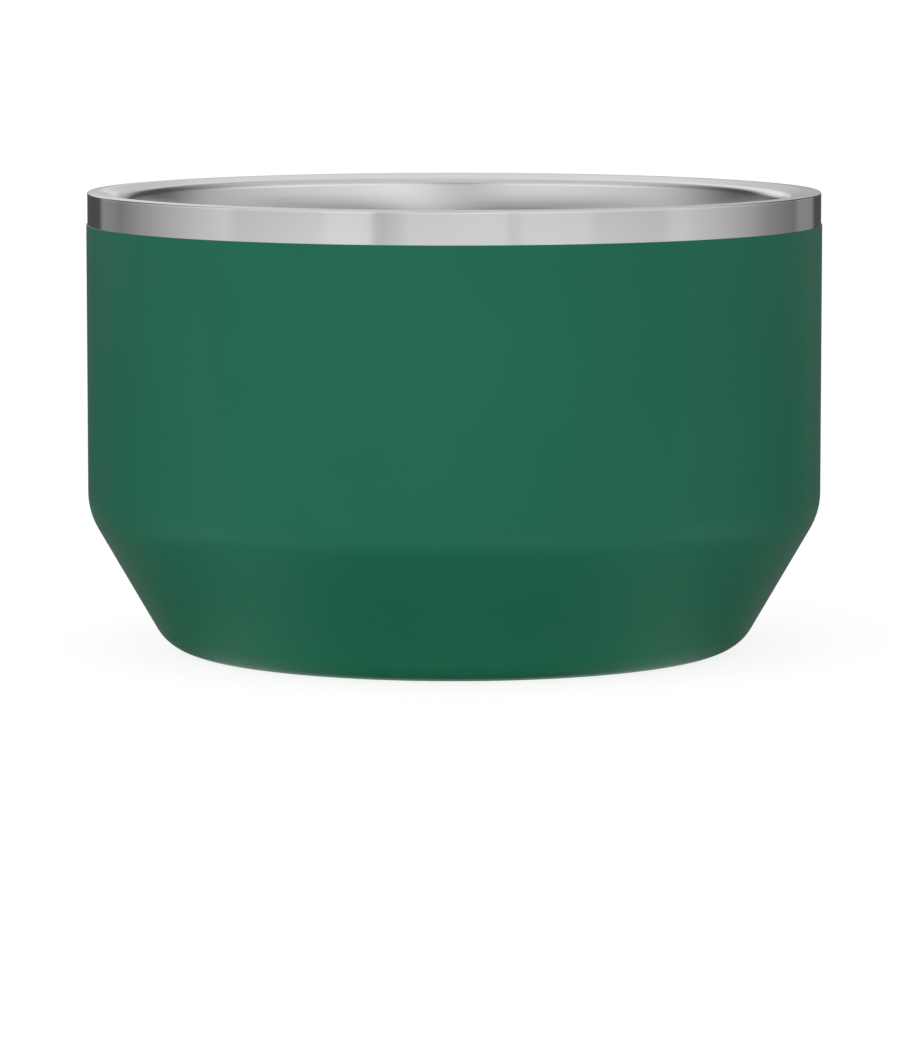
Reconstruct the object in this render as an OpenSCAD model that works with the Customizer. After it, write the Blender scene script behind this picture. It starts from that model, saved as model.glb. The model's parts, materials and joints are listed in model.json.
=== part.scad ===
// Double-wall insulated stainless steel bowl: a spun liner welded at its lip into a powder-coated outer
// shell, with the space between them evacuated and sealed at the base.
// Millimetres. The origin is the centre of the foot's standing plane, +Z is up the bowl's axis.

/* [Bowl] */
// Outside diameter of the bare steel wall
bowl_d = 150; // [135:1:180]
// Height from the standing plane to the crown of the lip
bowl_h = 93.8; // [80:0.1:130]
// Height at which the straight wall meets the taper
shoulder_h = 28.5; // [22:0.5:38]
// Lean of the taper from the vertical, in degrees
taper_angle = 30; // [22:1:38]
// Outside radius of the bend between wall and taper
shoulder_r = 14; // [6:1:24]
// Outside radius of the bend between taper and foot
heel_r = 9; // [4:0.5:12]
// Width of the flat ring that the bowl stands on
foot_w = 4.5; // [3:0.5:8]

/* [Walls] */
// Thickness of the outer shell's sheet
shell_t = 0.5; // [0.4:0.05:1]
// Thickness of the liner's sheet
liner_t = 0.5; // [0.4:0.05:1]
// Evacuated gap between the shell and the liner at the wall and the taper
wall_gap = 6.5; // [4.5:0.1:8]
// Evacuated gap between the base plate and the liner's floor
floor_gap = 8; // [7:0.5:11]
// Radius inside the bowl between wall and taper
liner_shoulder_r = 8.5; // [4:0.5:14]
// Radius inside the bowl between taper and floor
liner_heel_r = 10; // [5:0.5:12]

/* [Lip] */
// Width of the land outside the lip's crown, whose edge is welded to the top of the shell
lip_land = 2.5; // [2:0.1:3.5]
// Fall of that land towards the outside, in degrees
lip_fall = 5; // [2:1:8]
// Fall of the lip towards the mouth, in degrees
lip_slope = 16; // [8:1:22]
// Radius of the crown between the two falls
lip_crown_r = 5; // [3:0.5:8]
// Radius that rolls the lip over into the mouth
lip_roll_r = 1.8; // [1.2:0.1:3]
// Lean of the flared mouth below that roll from the vertical, in degrees
flare_angle = 6; // [3:1:7]
// Height of the lip above the point where the wall's line meets the flare's
flare_h = 7; // [6.5:0.5:10]
// Radius of the slow bend from the wall into the flare
flare_r = 80; // [40:5:90]
// Radius of the polished edge round the outside of the lip
lip_edge_r = 0.25; // [0.1:0.05:0.6]

/* [Finish] */
// Height of the bare steel band, from the crown of the lip to the edge of the coat
band_h = 6.7; // [4:0.1:20]
// Thickness of the powder coat
coat_t = 0.24; // [0.1:0.02:0.4]
// Height of the coat's lower edge above the standing plane
coat_low = 0.15; // [0.1:0.05:1]

/* [Base] */
// Thickness of the base plate's sheet
base_t = 0.6; // [0.4:0.05:1]
// Height of the base plate's underside above the standing plane
plate_z = 3.2; // [2.8:0.1:5]
// Height of the lower edge of the base plate's skirt
plate_skirt_z = 1; // [0.6:0.1:1.5]
// Thickness of the base cover's sheet
cover_t = 0.5; // [0.3:0.05:0.8]
// Height of the base cover's rim above the standing plane
cover_z = 0.9; // [0.5:0.1:1.2]
// Depth of the raised panel pressed into the base cover
cover_panel_depth = 0.5; // [0.3:0.1:0.8]
// Width of the base cover's rim outside that panel
cover_rim_w = 6; // [4:0.5:10]
// Radius of the dimple's floor round the evacuation hole
dimple_r = 6; // [5:0.5:8]
// Depth of that dimple
dimple_depth = 1; // [0.8:0.1:1.5]
// Radius of the evacuation hole
vent_r = 1.5; // [0.8:0.1:2]
// Radius of the sealing bead under the hole
bead_r = 4; // [3:0.25:4.75]
// Height of the sealing bead
bead_h = 0.8; // [0.5:0.1:1.2]

/* [Vacuum space] */
// Thickness of the reflective foil round the liner
foil_t = 0.1; // [0.05:0.01:0.3]
// Bare stretch of the liner's wall between the flare and the foil
foil_margin = 1; // [0.5:0.5:10]
// Radius of the getter pellet
getter_r = 4; // [3:0.25:5]
// Height of the getter pellet
getter_h = 2.2; // [1.5:0.1:3]
// Thickness of the getter clip's strip
clip_t = 0.4; // [0.3:0.05:0.6]
// Width of the getter clip's strip
clip_w = 4; // [3:0.5:6]
// Length of each foot of the getter clip
clip_foot = 2.8; // [2:0.1:4]

/* [Fits] */
// Clearance between nested pieces
fit_gap = 0.1; // [0.05:0.01:0.2]
// Inside radius of a tight bend in the base's sheet
crease_r = 0.4; // [0.3:0.05:0.5]

/* [Hidden] */

round_fn = 120;         // steps round the axis
bend_depth = 0.01;      // how far a bend's flats lie inside its true arc
dome_step = 10;         // degrees between the points of the bead's dome
weld_edge = 0.1;        // straight edge left above the weld under the lip
pellet_chamfer = 0.4;   // broken edge of the pressed pellet

steel = "#c5c7c9";
bright_steel = "#d2d4d6";
green = "#24664c";
aluminium = "#dcdde0";
solder = "#8f8a80";
zirconium = "#5a5d61";

shell_r = bowl_d / 2;
wall = shell_t + wall_gap + liner_t;
mouth_r = shell_r - wall;
crown_lift = lip_crown_r * (tan((lip_slope + lip_fall) / 2) * sin(lip_slope) - 1 + cos(lip_slope));
crown_z = bowl_h + crown_lift;   // where the lines of the two falls meet, above the round of the crown
edge_z = crown_z - lip_land * tan(lip_fall);
weld_z = edge_z - liner_t;
lip_in_r = mouth_r + flare_h * tan(flare_angle);
lip_in_z = crown_z - (shell_r - lip_land - lip_in_r) * tan(lip_slope);
flare_z = lip_in_z - flare_h - flare_r * tan(flare_angle / 2);
plate_top = plate_z + base_t;
floor_z = plate_top + floor_gap + liner_t;
heel_turn = 90 - taper_angle;
foot_r = taper_r(0, 0) - heel_r * tan(heel_turn / 2);
recess_r = foot_r - foot_w;
plate_r = recess_r - fit_gap - base_t;
cover_r = plate_r - fit_gap;
dimple_top = plate_z + dimple_depth;
getter_place = (dimple_r + dimple_depth + plate_r) / 2;

// Places in the double wall. Depth is measured square to the shell's outside face.

// Where the wall's line and the taper's line meet at a depth
function shoulder_at(depth) = [shell_r - depth, shoulder_h + depth * tan(taper_angle / 2)];

// Radius of the taper's line at a depth and a height
function taper_r(depth, z) =
    let (corner = shoulder_at(depth)) corner.x - (corner.y - z) * tan(taper_angle);

// Bent sheet. A path lists the corners of the face that shows, as [x, y, bend radius], and the sheet's
// thickness lies to the right of the way that the path runs. Ends need no radius.

function heading(a, b) = let (run = [b.x - a.x, b.y - a.y]) run / norm(run);
function right_of(d) = [d.y, -d.x];
function turned(v, angle) = [v.x * cos(angle) - v.y * sin(angle), v.x * sin(angle) + v.y * cos(angle)];

// Points of the bend at corner b, on the face at this depth below the one that shows
function bend(a, b, c, depth) =
    let (before = heading(a, b),
         after = heading(b, c),
         turn = atan2(before.x * after.y - before.y * after.x, before * after),
         side = sign(turn),
         out = right_of(before) * side,
         centre = [b.x, b.y] - before * b.z * tan(abs(turn) / 2) - out * b.z,
         steps = ceil(abs(turn) / (2 * acos(1 - bend_depth / b.z))))
    [for (k = [0:steps]) centre + turned(out, turn * k / steps) * (b.z + side * depth)];

// One whole face of the sheet, from the path's start to its end
function face(path, depth) =
    let (last = len(path) - 1,
         first_side = right_of(heading(path[0], path[1])),
         last_side = right_of(heading(path[last - 1], path[last])))
    concat([[path[0].x, path[0].y] + first_side * depth],
           [for (i = [1:1:last - 1]) each bend(path[i - 1], path[i], path[i + 1], depth)],
           [[path[last].x, path[last].y] + last_side * depth]);

function reversed(points) = [for (i = [len(points) - 1:-1:0]) points[i]];

function sheet_outline(path, t) = concat(face(path, 0), reversed(face(path, t)));

module spun(outline) rotate_extrude($fn = round_fn) polygon(outline);

// The liner: floor, taper and wall in one drawing. The mouth flares a little to lead a lid in, then rolls
// over into a crowned lip that reaches the outside of the shell and closes the gap between the two walls.
module inner_bowl() {
    to_lip = [[0, floor_z],
              [taper_r(wall, floor_z), floor_z, liner_heel_r],
              [shoulder_at(wall).x, shoulder_at(wall).y, liner_shoulder_r],
              [mouth_r, lip_in_z - flare_h, flare_r],
              [lip_in_r, lip_in_z, lip_roll_r],
              [shell_r - lip_land, crown_z, lip_crown_r]];
    edge = [shell_r, edge_z, min(lip_edge_r, liner_t - weld_edge)];
    weld_seat = [[shell_r, weld_z], [shell_r - shell_t, weld_z]];
    show_face = face(concat(to_lip, [edge, weld_seat[0]]), 0);
    back_face = face(concat(to_lip, [edge]), liner_t);
    back_to_seat = [for (i = [0:len(back_face) - 2]) back_face[i]];
    color(bright_steel) spun(concat(show_face, [weld_seat[1]], reversed(back_to_seat)));
}

// The outside of the bowl from the weld under the lip down to the foot, turned up inside the foot as a
// flange that takes the base plate.
function shell_path() =
    [[shell_r, weld_z],
     [shell_r, shoulder_h, shoulder_r],
     [taper_r(0, 0), 0, heel_r],
     [recess_r, 0, shell_t + crease_r],
     [recess_r, plate_top]];

module outer_shell() {
    color(steel) spun(sheet_outline(shell_path(), shell_t));
}

// The coat on the outside of the shell, from the bare band down round the heel, where it stops just
// clear of the standing plane.
module powder_coat() {
    coated = concat([[shell_r, bowl_h - band_h]], [for (i = [1:3]) shell_path()[i]]);
    color(green) rotate_extrude($fn = round_fn) intersection() {
        polygon(sheet_outline(coated, -coat_t));
        translate([foot_r, coat_low]) square([shell_r, bowl_h]);
    }
}

// The vacuum-tight bottom, a dish welded into the shell's flange, with a dimple round the hole that the
// air is drawn out through.
module base_plate() {
    path = [[plate_r, plate_skirt_z],
            [plate_r, plate_z, crease_r],
            [dimple_r + dimple_depth, plate_z, base_t + crease_r],
            [dimple_r, dimple_top, crease_r],
            [vent_r, dimple_top]];
    color(steel) spun(sheet_outline(path, base_t));
}

// The disc that hides the base plate and its seal, pressed up into the base plate's skirt and stiffened
// by a shallow panel.
module base_cover() {
    panel_r = cover_r - cover_rim_w;
    panel_z = cover_z + cover_panel_depth;
    path = [[cover_r, plate_z - crease_r],
            [cover_r, cover_z, cover_t + crease_r],
            [panel_r, cover_z, cover_t + crease_r],
            [panel_r - cover_panel_depth, panel_z, crease_r],
            [0, panel_z]];
    color(steel) spun(sheet_outline(path, cover_t));
}

// The bead that closes the evacuation hole, melted in from below: a plug and a shallow dome.
module seal_bead() {
    dome = [for (a = [0:dome_step:90]) [bead_r * cos(a), dimple_top - bead_h * sin(a)]];
    plug = [[0, dimple_top + base_t], [vent_r, dimple_top + base_t], [vent_r, dimple_top]];
    color(solder) spun(concat(plug, dome));
}

// Foil wrapped round the liner's wall and taper, bright side out, to turn back radiant heat.
module foil_wrap() {
    depth = wall - liner_t - fit_gap;
    low_z = floor_z + liner_heel_r * tan(heel_turn / 2) * cos(taper_angle);
    path = [[taper_r(depth, low_z), low_z],
            [shoulder_at(depth).x, shoulder_at(depth).y, liner_shoulder_r + liner_t + fit_gap],
            [shell_r - depth, flare_z - foil_margin]];
    color(aluminium) spun(sheet_outline(path, foil_t));
}

// The pressed pellet that takes up the last gas in the gap.
module getter_pellet() {
    c = pellet_chamfer;
    color(zirconium) translate([getter_place, 0, plate_top])
        spun([[0, 0], [getter_r - c, 0], [getter_r, c], [getter_r, getter_h - c],
              [getter_r - c, getter_h], [0, getter_h]]);
}

// The bent strip that holds the pellet down, spot-welded to the base plate by its two feet.
module getter_clip() {
    half = getter_r + fit_gap;
    top = getter_h + fit_gap;
    foot_end = half + clip_t + clip_foot;
    path = [[foot_end, 0],
            [half, 0, clip_t + crease_r],
            [half, top, crease_r],
            [-half, top, crease_r],
            [-half, 0, clip_t + crease_r],
            [-foot_end, 0]];
    color(steel) translate([getter_place, 0, plate_top]) rotate([90, 0, 0])
        linear_extrude(height = clip_w, center = true) polygon(sheet_outline(path, clip_t));
}

inner_bowl();
outer_shell();
powder_coat();
base_plate();
base_cover();
seal_bead();
foil_wrap();
getter_pellet();
getter_clip();
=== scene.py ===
import json
import math

import bmesh
import bpy
from mathutils import Matrix, Vector


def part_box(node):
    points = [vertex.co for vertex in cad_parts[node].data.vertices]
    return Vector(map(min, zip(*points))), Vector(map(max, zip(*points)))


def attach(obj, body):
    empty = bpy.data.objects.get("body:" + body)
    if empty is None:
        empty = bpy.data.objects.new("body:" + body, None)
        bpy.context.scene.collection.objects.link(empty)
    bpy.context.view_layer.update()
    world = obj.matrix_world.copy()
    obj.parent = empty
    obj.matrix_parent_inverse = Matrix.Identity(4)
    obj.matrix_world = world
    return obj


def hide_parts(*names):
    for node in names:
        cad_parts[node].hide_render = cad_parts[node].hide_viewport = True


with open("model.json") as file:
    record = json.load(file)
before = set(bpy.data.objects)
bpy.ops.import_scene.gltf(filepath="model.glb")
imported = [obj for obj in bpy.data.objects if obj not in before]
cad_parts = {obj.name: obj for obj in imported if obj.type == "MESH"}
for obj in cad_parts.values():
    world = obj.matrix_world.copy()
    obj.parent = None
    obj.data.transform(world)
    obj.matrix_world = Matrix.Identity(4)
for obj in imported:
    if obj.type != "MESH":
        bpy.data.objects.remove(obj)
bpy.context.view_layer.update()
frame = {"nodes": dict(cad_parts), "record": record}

# Liner: the food side of the bowl, drawn and spun from one disc of stainless sheet. Its rim rolls over
# into a lip that reaches out to the shell, where it is welded and the joint polished to a small round.
mm = 0.001
liner_low, liner_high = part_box("inner_bowl")
bowl_h = liner_high.z
wall_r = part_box("outer_shell")[1].x
mouth_r = next(m["dims"]["r_mm"] for m in frame["record"]["mounts"] if m["name"] == "mouth") * mm
double_wall = wall_r - mouth_r
liner_t = 0.5 * mm
shell_t = 0.5 * mm
floor_z = liner_low.z + liner_t
shoulder_z = 28.5 * mm
taper = math.radians(30)
liner_shoulder_r = 8.5 * mm
liner_heel_r = 10 * mm
lip_land = 2.5 * mm
lip_fall = math.radians(5)
lip_slope = math.radians(16)
lip_crown_r = 5 * mm
lip_roll_r = 1.8 * mm
lip_edge_r = 0.25 * mm
flare_angle = math.radians(6)
flare_h = 7 * mm
flare_r = 80 * mm


def shoulder_at(depth):
    """Where the lines of wall and taper meet, at a depth below the shell's outside face."""
    return wall_r - depth, shoulder_z + depth * math.tan(taper / 2)


def taper_r(depth, z):
    """Radius of the taper's line at a height, at a depth below the shell's outside face."""
    corner_r, corner_z = shoulder_at(depth)
    return corner_r - (corner_z - z) * math.tan(taper)


def sheet_face(path, depth=0.0):
    """Points of one face of a bent sheet, at a depth to the right of the path.
    The path lists the corners of the face that shows, as (radius, height, bend radius)."""
    least_steps = 6
    widest_step = math.radians(3)
    corners = [Vector(corner[:2]) for corner in path]
    runs = [(b - a).normalized() for a, b in zip(corners, corners[1:])]
    rights = [Vector((run.y, -run.x)) for run in runs]
    points = [corners[0] + rights[0] * depth]
    for i in range(1, len(path) - 1):
        bend_r = path[i][2]
        turn = -runs[i - 1].angle_signed(runs[i])
        side = math.copysign(1, turn)
        out = rights[i - 1] * side
        centre = corners[i] - runs[i - 1] * bend_r * math.tan(abs(turn) / 2) - out * bend_r
        steps = max(least_steps, math.ceil(abs(turn) / widest_step))
        for k in range(steps + 1):
            ray = Matrix.Rotation(turn * k / steps, 2) @ out
            points.append(centre + ray * (bend_r + side * depth))
    points.append(corners[-1] + rights[-1] * depth)
    return points


def spun(name, outline):
    """A piece turned about the bowl's axis from a closed outline of (radius, height) points."""
    steps = 288
    crisp_edge = math.radians(30)
    turns = [2 * math.pi * k / steps for k in range(steps)]
    bm = bmesh.new()
    rings = []
    for r, z in outline:
        if r > 0:
            rings.append([bm.verts.new((r * math.cos(turn), r * math.sin(turn), z)) for turn in turns])
        else:
            rings.append([bm.verts.new((0, 0, z))] * steps)
    for low, high in zip(rings, rings[1:] + rings[:1]):
        for k in range(steps):
            n = (k + 1) % steps
            # A ring on the axis is one point: its faces are triangles, and two such rings have none.
            corners = list(dict.fromkeys((low[k], low[n], high[n], high[k])))
            if len(corners) > 2:
                bm.faces.new(corners)
    bmesh.ops.recalc_face_normals(bm, faces=bm.faces)
    mesh = bpy.data.meshes.new(name)
    bm.to_mesh(mesh)
    bm.free()
    mesh.shade_smooth()
    mesh.set_sharp_from_angle(angle=crisp_edge)
    piece = bpy.data.objects.new(name, mesh)
    bpy.context.scene.collection.objects.link(piece)
    even = piece.modifiers.new("even_shading", "WEIGHTED_NORMAL")
    even.keep_sharp = True
    return piece


class Wire:
    """A socket in a node tree. Operators on wires and numbers add Math nodes, and node() adds any other."""

    def __init__(self, socket):
        self.socket = socket
        self.tree = socket.id_data

    def node(self, kind, settings=None, sockets=None, out=0):
        made = self.tree.nodes.new(kind)
        for key, value in (settings or {}).items():
            if key == "stops":
                for stop, (place, colour) in zip(made.color_ramp.elements, value):
                    stop.position = place
                    stop.color = (*colour, 1)
            else:
                setattr(made, key, value)
        for key, value in (sockets or {}).items():
            if isinstance(value, Wire):
                self.tree.links.new(value.socket, made.inputs[key])
            else:
                made.inputs[key].default_value = value
        return Wire(made.outputs[out])

    def maths(self, operation, *values):
        return self.node("ShaderNodeMath", {"operation": operation}, dict(enumerate(values)))

    def __add__(self, other):
        return self.maths("ADD", self, other)

    def __sub__(self, other):
        return self.maths("SUBTRACT", self, other)

    def __mul__(self, other):
        return self.maths("MULTIPLY", self, other)

    def __radd__(self, other):
        return self.maths("ADD", other, self)

    def __rsub__(self, other):
        return self.maths("SUBTRACT", other, self)

    def __rmul__(self, other):
        return self.maths("MULTIPLY", other, self)

    def drive(self, source):
        self.tree.links.new(source.socket, self.socket)


def new_finish(name):
    """A material with an empty surface, and the wire of that surface."""
    material = bpy.data.materials.new(name)
    material.use_nodes = True
    nodes = material.node_tree.nodes
    nodes.clear()
    return material, Wire(nodes.new("ShaderNodeOutputMaterial").inputs["Surface"])


def turned_lines(surface, per_mm, drift):
    """Noise drawn out round the axis, as a lathe's or a brush's lines are, from 0 to 1."""
    place = surface.node("ShaderNodeTexCoord", out="Object")
    x, y, z = (surface.node("ShaderNodeSeparateXYZ", sockets={"Vector": place}, out=axis) for axis in "XYZ")
    across = surface.maths("SQRT", x * x + y * y) + z
    lines = surface.node("ShaderNodeCombineXYZ", sockets={
        "X": x * drift, "Y": y * drift, "Z": across * (per_mm / mm)})
    return surface.node("ShaderNodeTexNoise", sockets={"Vector": lines, "Scale": 1.0, "Detail": 3.0})


def steel_finish(name, tint, rough, grain, line_bump):
    """Stainless sheet brushed round the axis: a stretched gloss, fine lines and a slight bloom."""
    material, surface = new_finish(name)
    fine = turned_lines(surface, per_mm=9, drift=40)
    broad = turned_lines(surface, per_mm=0.7, drift=12)
    streak = (fine + broad - 1) * grain
    shade = surface.node("ShaderNodeVectorMath", {"operation": "SCALE"}, {0: tint, "Scale": 1 + streak})
    relief = surface.node("ShaderNodeBump", sockets={
        "Strength": line_bump, "Distance": 0.01 * mm, "Height": fine})
    surface.drive(surface.node("ShaderNodeBsdfPrincipled", sockets={
        "Base Color": shade, "Metallic": 1.0, "Roughness": rough + streak, "Normal": relief,
        "Anisotropic": 0.6, "Anisotropic Rotation": 0.25}))
    return material


# The lines of the lip's two falls meet above its crown, which is the round between them.
half_turn = (lip_slope + lip_fall) / 2
crown_lift = lip_crown_r * (math.tan(half_turn) * math.sin(lip_slope) + math.cos(lip_slope) - 1)
crown_z = bowl_h + crown_lift
edge_z = crown_z - lip_land * math.tan(lip_fall)
weld_z = edge_z - liner_t
lip_in_r = mouth_r + flare_h * math.tan(flare_angle)
lip_in_z = crown_z - (wall_r - lip_land - lip_in_r) * math.tan(lip_slope)
liner_path = [
    (0, floor_z),
    (taper_r(double_wall, floor_z), floor_z, liner_heel_r),
    (*shoulder_at(double_wall), liner_shoulder_r),
    (mouth_r, lip_in_z - flare_h, flare_r),
    (lip_in_r, lip_in_z, lip_roll_r),
    (wall_r - lip_land, crown_z, lip_crown_r),
    (wall_r, edge_z, lip_edge_r)]
liner_show = sheet_face(liner_path + [(wall_r, weld_z)])
liner_back = sheet_face(liner_path, liner_t)[:-1]
weld_seat = Vector((wall_r - shell_t, weld_z))
liner = spun("liner", liner_show + [weld_seat] + liner_back[::-1])
liner.data.materials.append(steel_finish(
    "spun_steel", tint=(0.72, 0.72, 0.72), rough=0.14, grain=0.05, line_bump=0.12))
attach(liner, "root")
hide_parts("inner_bowl")

# Foil and getter: bright aluminium foil wrapped round the liner, and a pressed pellet under a spot-welded
# strip. They sit in the vacuum between the walls and never show, so the solids stay as they are.


def speckle(surface, scale, detail):
    """Noise that stays with the piece, from 0 to 1."""
    place = surface.node("ShaderNodeTexCoord", out="Object")
    return surface.node("ShaderNodeTexNoise", sockets={"Vector": place, "Scale": scale, "Detail": detail})


def refinish(node, material):
    """Gives a CAD node that keeps its solid a better material."""
    slots = frame["nodes"][node].data.materials
    slots.clear()
    slots.append(material)


foil_finish, foil_surface = new_finish("bright_foil")
creases = speckle(foil_surface, scale=180.0, detail=4.0)
foil_surface.drive(foil_surface.node("ShaderNodeBsdfPrincipled", sockets={
    "Base Color": (0.86, 0.86, 0.87, 1), "Metallic": 1.0, "Roughness": 0.12 + creases * 0.15,
    "Normal": foil_surface.node("ShaderNodeBump", sockets={
        "Strength": 0.4, "Distance": 0.2 * mm, "Height": creases})}))
refinish("foil_wrap", foil_finish)

pellet_finish, pellet_surface = new_finish("pressed_pellet")
powder = speckle(pellet_surface, scale=4000.0, detail=2.0)
pellet_surface.drive(pellet_surface.node("ShaderNodeBsdfPrincipled", sockets={
    "Base Color": pellet_surface.node("ShaderNodeValToRGB", {
        "stops": [(0.3, (0.08, 0.08, 0.09)), (0.7, (0.16, 0.16, 0.17))]}, {"Fac": powder}),
    "Metallic": 0.4, "Roughness": 0.75}))
refinish("getter_pellet", pellet_finish)

# Outer shell: one drawn stainless pressing from the weld under the lip down to the foot, where it turns up
# inside as a flange for the base. Only its band above the coat and its foot ring stay bare.
shoulder_bend_r = 14 * mm
heel_bend_r = 9 * mm
foot_w = 4.5 * mm
crease_r = 0.4 * mm
flange_rise = 2.8 * mm
foot_r = taper_r(0, 0) - heel_bend_r * math.tan((math.pi / 2 - taper) / 2)
flange_r = foot_r - foot_w
flange_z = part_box("base_plate")[0].z + flange_rise
shell_path = [
    (wall_r, weld_z),
    (*shoulder_at(0), shoulder_bend_r),
    (taper_r(0, 0), 0, heel_bend_r),
    (flange_r, 0, shell_t + crease_r),
    (flange_r, flange_z)]
shell = spun("shell", sheet_face(shell_path) + sheet_face(shell_path, shell_t)[::-1])
shell_steel = steel_finish(
    "brushed_steel", tint=(0.62, 0.62, 0.62), rough=0.16, grain=0.05, line_bump=0.1)
shell.data.materials.append(shell_steel)
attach(shell, "root")
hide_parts("outer_shell")

# Base plate, getter strip and seal: the vacuum-tight bottom welded into the flange, and the solder-glass
# bead that closes its evacuation hole. The base cover hides them all.
refinish("base_plate", shell_steel)
refinish("getter_clip", shell_steel)
glass_finish, glass_surface = new_finish("solder_glass")
seeds = speckle(glass_surface, scale=1500.0, detail=2.0)
glass_surface.drive(glass_surface.node("ShaderNodeBsdfPrincipled", sockets={
    "Base Color": glass_surface.node("ShaderNodeValToRGB", {
        "stops": [(0.35, (0.14, 0.13, 0.11)), (0.65, (0.2, 0.19, 0.16))]}, {"Fac": seeds}),
    "Roughness": 0.15 + seeds * 0.2}))
refinish("seal_bead", glass_finish)

# Powder coat: green polyester powder sprayed on the shell and baked to a satin film with a faint orange
# peel. It is masked off below the lip, so its upper edge is a fine step on the bare steel.
coat_low, coat_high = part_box("powder_coat")
coat_t = coat_high.x - wall_r
coat_edge_r = 0.12 * mm
coat_edge_steps = 6


def coat_outline():
    """The film's section: its outside from the rounded upper edge to the heel, and back along the steel."""
    path = [(wall_r, coat_high.z), *shell_path[1:3], (foot_r - foot_w / 2, 0)]
    outside = sheet_face(path, -coat_t)
    inside = sheet_face(path)
    edge = []
    for k in range(coat_edge_steps, -1, -1):
        turn = math.pi / 2 * k / coat_edge_steps
        edge.append(outside[0] - coat_edge_r * Vector((1 - math.cos(turn), 1 - math.sin(turn))))
    return edge + [point for point in outside[1:] + inside[::-1] if point.y > coat_low.z]


coat = spun("coat", coat_outline())
coat_finish, coat_surface = new_finish("green_powder_coat")
peel = speckle(coat_surface, scale=1400.0, detail=2.0)
cloud = speckle(coat_surface, scale=25.0, detail=2.0)
coat_surface.drive(coat_surface.node("ShaderNodeBsdfPrincipled", sockets={
    "Base Color": coat_surface.node("ShaderNodeValToRGB", {
        "stops": [(0.35, (0.0066, 0.1105, 0.062)), (0.65, (0.0076, 0.115, 0.065))]}, {"Fac": cloud}),
    "Roughness": 0.32 + peel * 0.14, "IOR": 1.25, "Sheen Weight": 0.05, "Sheen Roughness": 0.2,
    "Normal": coat_surface.node("ShaderNodeBump", sockets={
        "Strength": 0.15, "Distance": 0.02 * mm, "Height": peel})}))
coat.data.materials.append(coat_finish)
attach(coat, "root")
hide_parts("powder_coat")

# Base cover: a thin disc pressed up into the base's skirt, with a shallow raised panel to stiffen it. It
# is turned and brushed like the shell, and hides the base plate and its seal.
cover_low, cover_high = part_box("base_cover")
cover_t = 0.5 * mm
cover_panel_depth = 0.5 * mm
cover_rim_w = 6 * mm
panel_r = cover_high.x - cover_rim_w
panel_z = cover_low.z + cover_panel_depth
cover_path = [
    (cover_high.x, cover_high.z),
    (cover_high.x, cover_low.z, cover_t + crease_r),
    (panel_r, cover_low.z, cover_t + crease_r),
    (panel_r - cover_panel_depth, panel_z, crease_r),
    (0, panel_z)]
cover = spun("cover", sheet_face(cover_path) + sheet_face(cover_path, cover_t)[::-1])
cover.data.materials.append(steel_finish(
    "turned_steel", tint=(0.6, 0.6, 0.6), rough=0.28, grain=0.08, line_bump=0.2))
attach(cover, "root")
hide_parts("base_cover")

# Floor: one wide sheet of white board. Part of its white is its own, so that it stays white to the edge of
# the picture while the bowl's contact shadow still shows on it. Round the foot it is faintly lit from below,
# as a light table is, which lifts the shade under the heel.
floor_half = 12.0
floor_drop = 0.05 * mm
board_own_share = 0.75
glow_inner_r = foot_r + 0.5 * mm
glow_outer_r = foot_r + 18 * mm
glow_z = 0.02 * mm
glow_steps = 96


def seen_rays(surface):
    """1 for what the camera, gloss and glass see, and 0 for the light that falls on other surfaces."""
    camera_ray = surface.node("ShaderNodeLightPath", out="Is Camera Ray")
    glossy_ray = surface.node("ShaderNodeLightPath", out="Is Glossy Ray")
    return camera_ray + glossy_ray + surface.node("ShaderNodeLightPath", out="Is Transmission Ray")


def around(bearing, r, z):
    """A place round the bowl, at a bearing in degrees from the camera round to its right."""
    turn = math.radians(bearing)
    return r * math.sin(turn), -r * math.cos(turn), z


def staged(name, verts, faces, finish):
    """An object of the set, which isn't part of the bowl."""
    mesh = bpy.data.meshes.new(name)
    mesh.from_pydata(verts, [], faces)
    mesh.materials.append(finish)
    thing = bpy.data.objects.new(name, mesh)
    bpy.context.scene.collection.objects.link(thing)
    return thing


board_finish, board_surface = new_finish("white_board")
board_surface.drive(board_surface.node("ShaderNodeMixShader", sockets={
    0: seen_rays(board_surface) * board_own_share,
    1: board_surface.node("ShaderNodeBsdfDiffuse", sockets={"Color": (0.97, 0.97, 0.92, 1)}),
    2: board_surface.node("ShaderNodeEmission", sockets={"Color": (1, 1, 1, 1), "Strength": 1.12})}))
floor_verts = [
    (-floor_half, -floor_half, -floor_drop), (floor_half, -floor_half, -floor_drop),
    (floor_half, floor_half, -floor_drop), (-floor_half, floor_half, -floor_drop)]
staged("floor", floor_verts, [(0, 1, 2, 3)], board_finish)

glow_finish, glow_surface = new_finish("lit_board")
clear = glow_surface.node("ShaderNodeBsdfTransparent")
lit = glow_surface.node("ShaderNodeEmission", sockets={"Color": (1, 1, 0.85, 1), "Strength": 0.4})
glow_surface.drive(glow_surface.node("ShaderNodeMixShader", sockets={
    0: glow_surface.node("ShaderNodeNewGeometry", out="Backfacing"),
    1: glow_surface.node("ShaderNodeAddShader", sockets={0: clear, 1: lit}),
    2: clear}))
glow_verts, glow_faces = [], []
for k in range(glow_steps):
    bearing = 360 * k / glow_steps
    glow_verts += [around(bearing, glow_inner_r, glow_z), around(bearing, glow_outer_r, glow_z)]
    a, b = 2 * k, 2 * ((k + 1) % glow_steps)
    glow_faces.append((a, a + 1, b + 1, b))
floor_glow = staged("floor_glow", glow_verts, glow_faces, glow_finish)
floor_glow.visible_camera = False
floor_glow.visible_glossy = False
floor_glow.visible_shadow = False
floor_glow.visible_transmission = False

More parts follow.
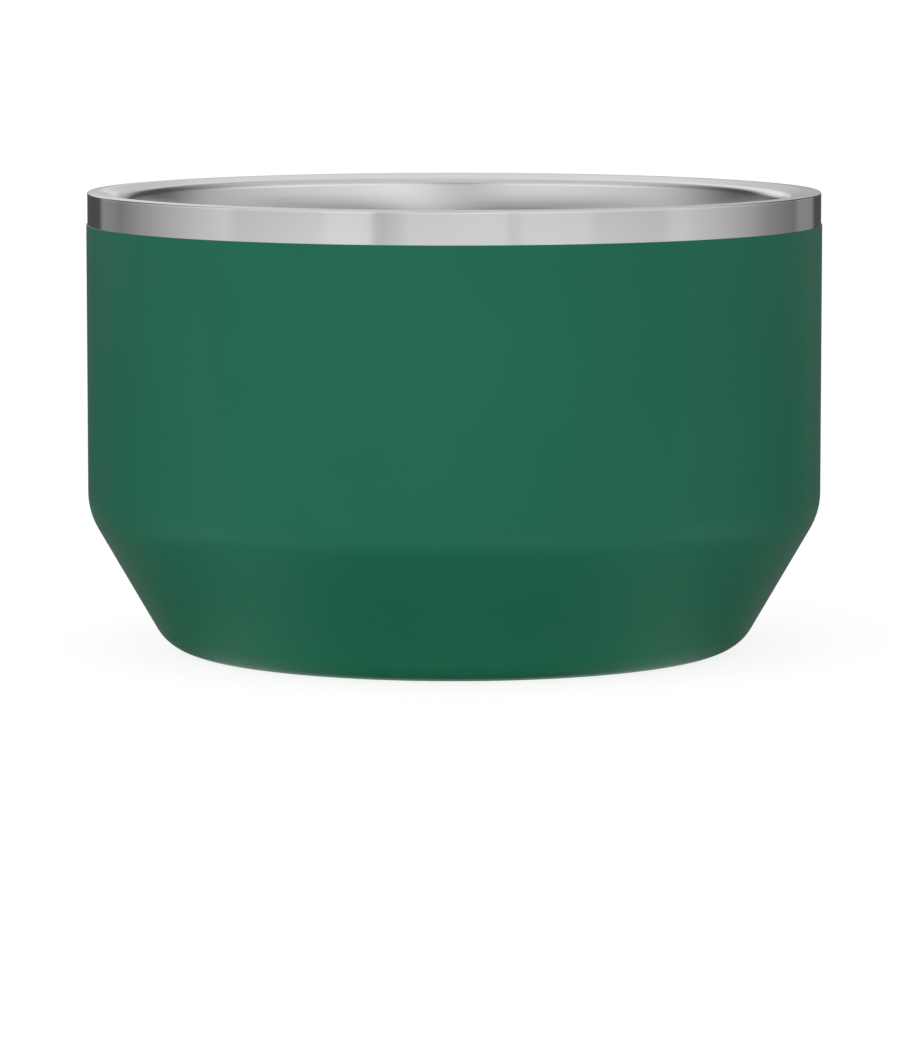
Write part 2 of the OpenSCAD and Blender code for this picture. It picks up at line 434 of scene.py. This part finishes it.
# Studio surround: what the gloss of the steel sees, and nothing else does. A low ring of paper strips and a
# paper mat on the floor inside it stand close round the bowl, for its bare band to mirror. Over them is a
# dome, pale in front, behind and overhead and dark at the sides. Bearings and rises are in degrees.
strip_r = 250 * mm
strip_h = 96 * mm
strip_shade_h = 45 * mm
strip_clear_h = 62 * mm
dome_r = 2.0
mat_z = 0.5 * mm
mat_in_r = foot_r + 4 * mm
mat_grey_r = 108 * mm
mat_white_r = 118 * mm
mat_white_out_r = 160 * mm
mat_pale_r = 190 * mm
screen_step = 3
screen_verts, screen_faces, screen_lights = [], [], []


def bell(value, middle, width):
    """1 at the middle, and a smooth fall on either side of it."""
    return math.exp(-((value - middle) / width) ** 2)


def ease(value, start, end):
    """0 before start, 1 after end, and a smooth rise between them."""
    t = min(max((value - start) / (end - start), 0), 1)
    return t * t * (3 - 2 * t)


def between(a, b, share):
    """The value at a share of the way from a to b."""
    return a + (b - a) * share


def add_screen(columns):
    """Joins columns of (place, light) points into one surface of the surround."""
    wide = len(columns[0])
    for k, column in enumerate(columns):
        b = len(screen_verts)
        screen_verts.extend(place for place, light in column)
        screen_lights.extend(light for place, light in column)
        if k:
            a = b - wide
            screen_faces.extend((a + j, b + j, b + j + 1, a + j + 1) for j in range(wide - 1))


def strip_column(bearing, light):
    """Points up a strip. Its lower part is shaded at the sides and straight behind the bowl."""
    shade_depth = 0.8
    shade_spread = 17
    side_shade = bell(abs(bearing), 110, shade_spread)
    back_shade = bell(abs(bearing), 180, shade_spread)
    shaded = light * (1 - shade_depth * (side_shade + back_shade))
    return [
        (around(bearing, strip_r, 0), shaded), (around(bearing, strip_r, strip_shade_h), shaded),
        (around(bearing, strip_r, strip_clear_h), light), (around(bearing, strip_r, strip_h), light)]


def dome_light(bearing, rise):
    """Light of the dome at a bearing, at a rise above the horizon."""
    dark = 0.09
    side = abs(bearing - 4)
    front_panel = (1.09 - 0.29 * ease(rise, 12, 34)) * (1 - ease(side, 55, 130))
    panel_foot = 0.92 * (1 - ease(rise, 3, 10)) * (1 - ease(side, 55, 105))
    panel_foot *= 1 - 0.55 * bell(bearing, 12, 20)
    grey_panel = 0.55 * bell(bearing, -2, 15) * ease(rise, 5, 13) * (1 - ease(rise, 22, 62))
    front = (dark + front_panel) * (1 - panel_foot) - grey_panel
    ceiling = 0.7 + 0.08 * ease(rise, 60, 85)
    turn = (bearing + 360) % 360 - 180
    left = ease(turn, 2, 10)
    back_panel = 0.43 + 0.18 * ease(rise, 4, 13) + 0.36 * left * ease(rise, 3, 10)
    back_panel += 0.25 * (1 - left) * ease(rise, 16, 28)
    back_panel += 0.35 * bell(turn, 3, 3) * bell(rise, 5, 4)
    behind = ease(turn, -30, -6) * (1 - ease(turn, 24, 48)) * (1 - ease(rise, 60, 85))
    return between(between(front, ceiling, ease(rise, 24, 58)), back_panel, behind)


def dome_column(bearing):
    """Points up the dome, from the rim's height to the top."""
    points = []
    for rise in range(0, 91, screen_step):
        up = math.radians(rise)
        place = around(bearing, dome_r * math.cos(up), bowl_h + dome_r * math.sin(up))
        points.append((place, dome_light(bearing, rise)))
    return points


def mat_column(bearing):
    """Points out over the mat: grey round the foot with a pale card to the left and right, white in front."""
    side = abs(bearing)
    grey = 0.06 + 0.62 * bell(side, 44, 17) + 0.15 * ease(side, 60, 90)
    front = 1 - ease(side, 60, 95)
    white = between(grey, 1.7, front)
    pale = between(grey, 0.95, front)
    return [
        (around(bearing, mat_in_r, mat_z), grey), (around(bearing, mat_grey_r, mat_z), grey),
        (around(bearing, mat_white_r, mat_z), white), (around(bearing, mat_white_out_r, mat_z), white),
        (around(bearing, mat_pale_r, mat_z), pale), (around(bearing, strip_r, mat_z), pale)]


# Each strip has the bearings of its two edges and the light at each of them.
left_strips = [(-128, -113, 0.35, 0.3), (-113, -62, 0.25, 0.95), (-62, -34, 0.8, 1.0)]
front_strips = [
    (-34, -21, 1.1, 1.1), (-21, -13, 0.7, 0.9), (-13, 14, 1.0, 1.0), (14, 17, 0.85, 0.85), (17, 36, 1.0, 1.0)]
right_strips = [
    (36, 59, 0.9, 0.8), (59, 66, 0.9, 0.9), (66, 95, 0.85, 0.45), (95, 118, 0.4, 0.2), (118, 135, 0.35, 0.3)]
back_strips = [(135, 165, 0.08, 0.08), (165, 195, 0.6, 0.6), (195, 232, 0.08, 0.08)]
for start, end, light_start, light_end in left_strips + front_strips + right_strips + back_strips:
    steps = max(1, round((end - start) / screen_step))
    shares = [k / steps for k in range(steps + 1)]
    add_screen([strip_column(between(start, end, s), between(light_start, light_end, s)) for s in shares])
add_screen([dome_column(bearing) for bearing in range(-180, 181, screen_step)])
add_screen([mat_column(bearing) for bearing in range(-180, 181)])
screen_finish, screen_surface = new_finish("screen_cloth")
screen_surface.drive(screen_surface.node("ShaderNodeEmission", sockets={
    "Color": screen_surface.node("ShaderNodeAttribute", {"attribute_name": "light"}, out="Fac")}))
screen_finish.cycles.emission_sampling = "NONE"
screens = staged("screens", screen_verts, screen_faces, screen_finish)
screens.data.attributes.new("light", "FLOAT", "POINT").data.foreach_set("value", screen_lights)
screens.visible_camera = False
screens.visible_diffuse = False
screens.visible_shadow = False
screens.visible_transmission = False

# Light: an even white room, with two soft lamps in front on the left. The weaker one hangs high up and shapes
# the wall, and the stronger one stands low and fills the front. Gloss sees the surround and not the lamps.
world = bpy.data.worlds.new("white_room")
bpy.context.scene.world = world
world.use_nodes = True
world.node_tree.nodes.clear()
sky = Wire(world.node_tree.nodes.new("ShaderNodeOutputWorld").inputs["Surface"])
sky.drive(sky.node("ShaderNodeMixShader", sockets={
    0: seen_rays(sky),
    1: sky.node("ShaderNodeBackground", sockets={"Color": (1, 1, 1, 1), "Strength": 0.8}),
    2: sky.node("ShaderNodeBackground", sockets={"Color": (1, 1, 1, 1), "Strength": 1.0})}))

lamp_size = 0.9
lamp_aim = Vector((0, 0, bowl_h / 2))
for name, energy, place in (
        ("key_lamp", 2.5, (-0.9, -1.1, 1.1)),
        ("fill_lamp", 6.0, (-0.3, -1.3, 0.25))):
    lamp_data = bpy.data.lights.new(name, "AREA")
    lamp_data.energy = energy
    lamp_data.size = lamp_size
    lamp = bpy.data.objects.new(name, lamp_data)
    lamp.location = place
    lamp.rotation_euler = (lamp_aim - lamp.location).to_track_quat("-Z", "Y").to_euler()
    lamp.visible_glossy = False
    bpy.context.scene.collection.objects.link(lamp)

# Camera: a long lens in front of the bowl and a little above its rim, tilted slightly down. The shift sets
# the bowl's axis as far to the side of the picture's middle as it is in the photograph.
photo_h = 1055
focal_px = 5568.86
axis_px = 4.26
camera_back = 1140.6 * mm
camera_z = 153.16 * mm
camera_tilt = 0.1125
camera_data = bpy.data.cameras.new("camera")
camera_data.sensor_width = 36
camera_data.lens = camera_data.sensor_width * focal_px / photo_h
camera_data.shift_x = -axis_px / photo_h
camera_data.clip_start = 0.05
camera_data.clip_end = 40
camera = bpy.data.objects.new("camera", camera_data)
camera.location = (0, -camera_back, camera_z)
camera.rotation_euler = (math.pi / 2 - camera_tilt, 0, 0)
bpy.context.scene.collection.objects.link(camera)
bpy.context.scene.camera = camera
bpy.context.scene.view_settings.view_transform = "Standard"
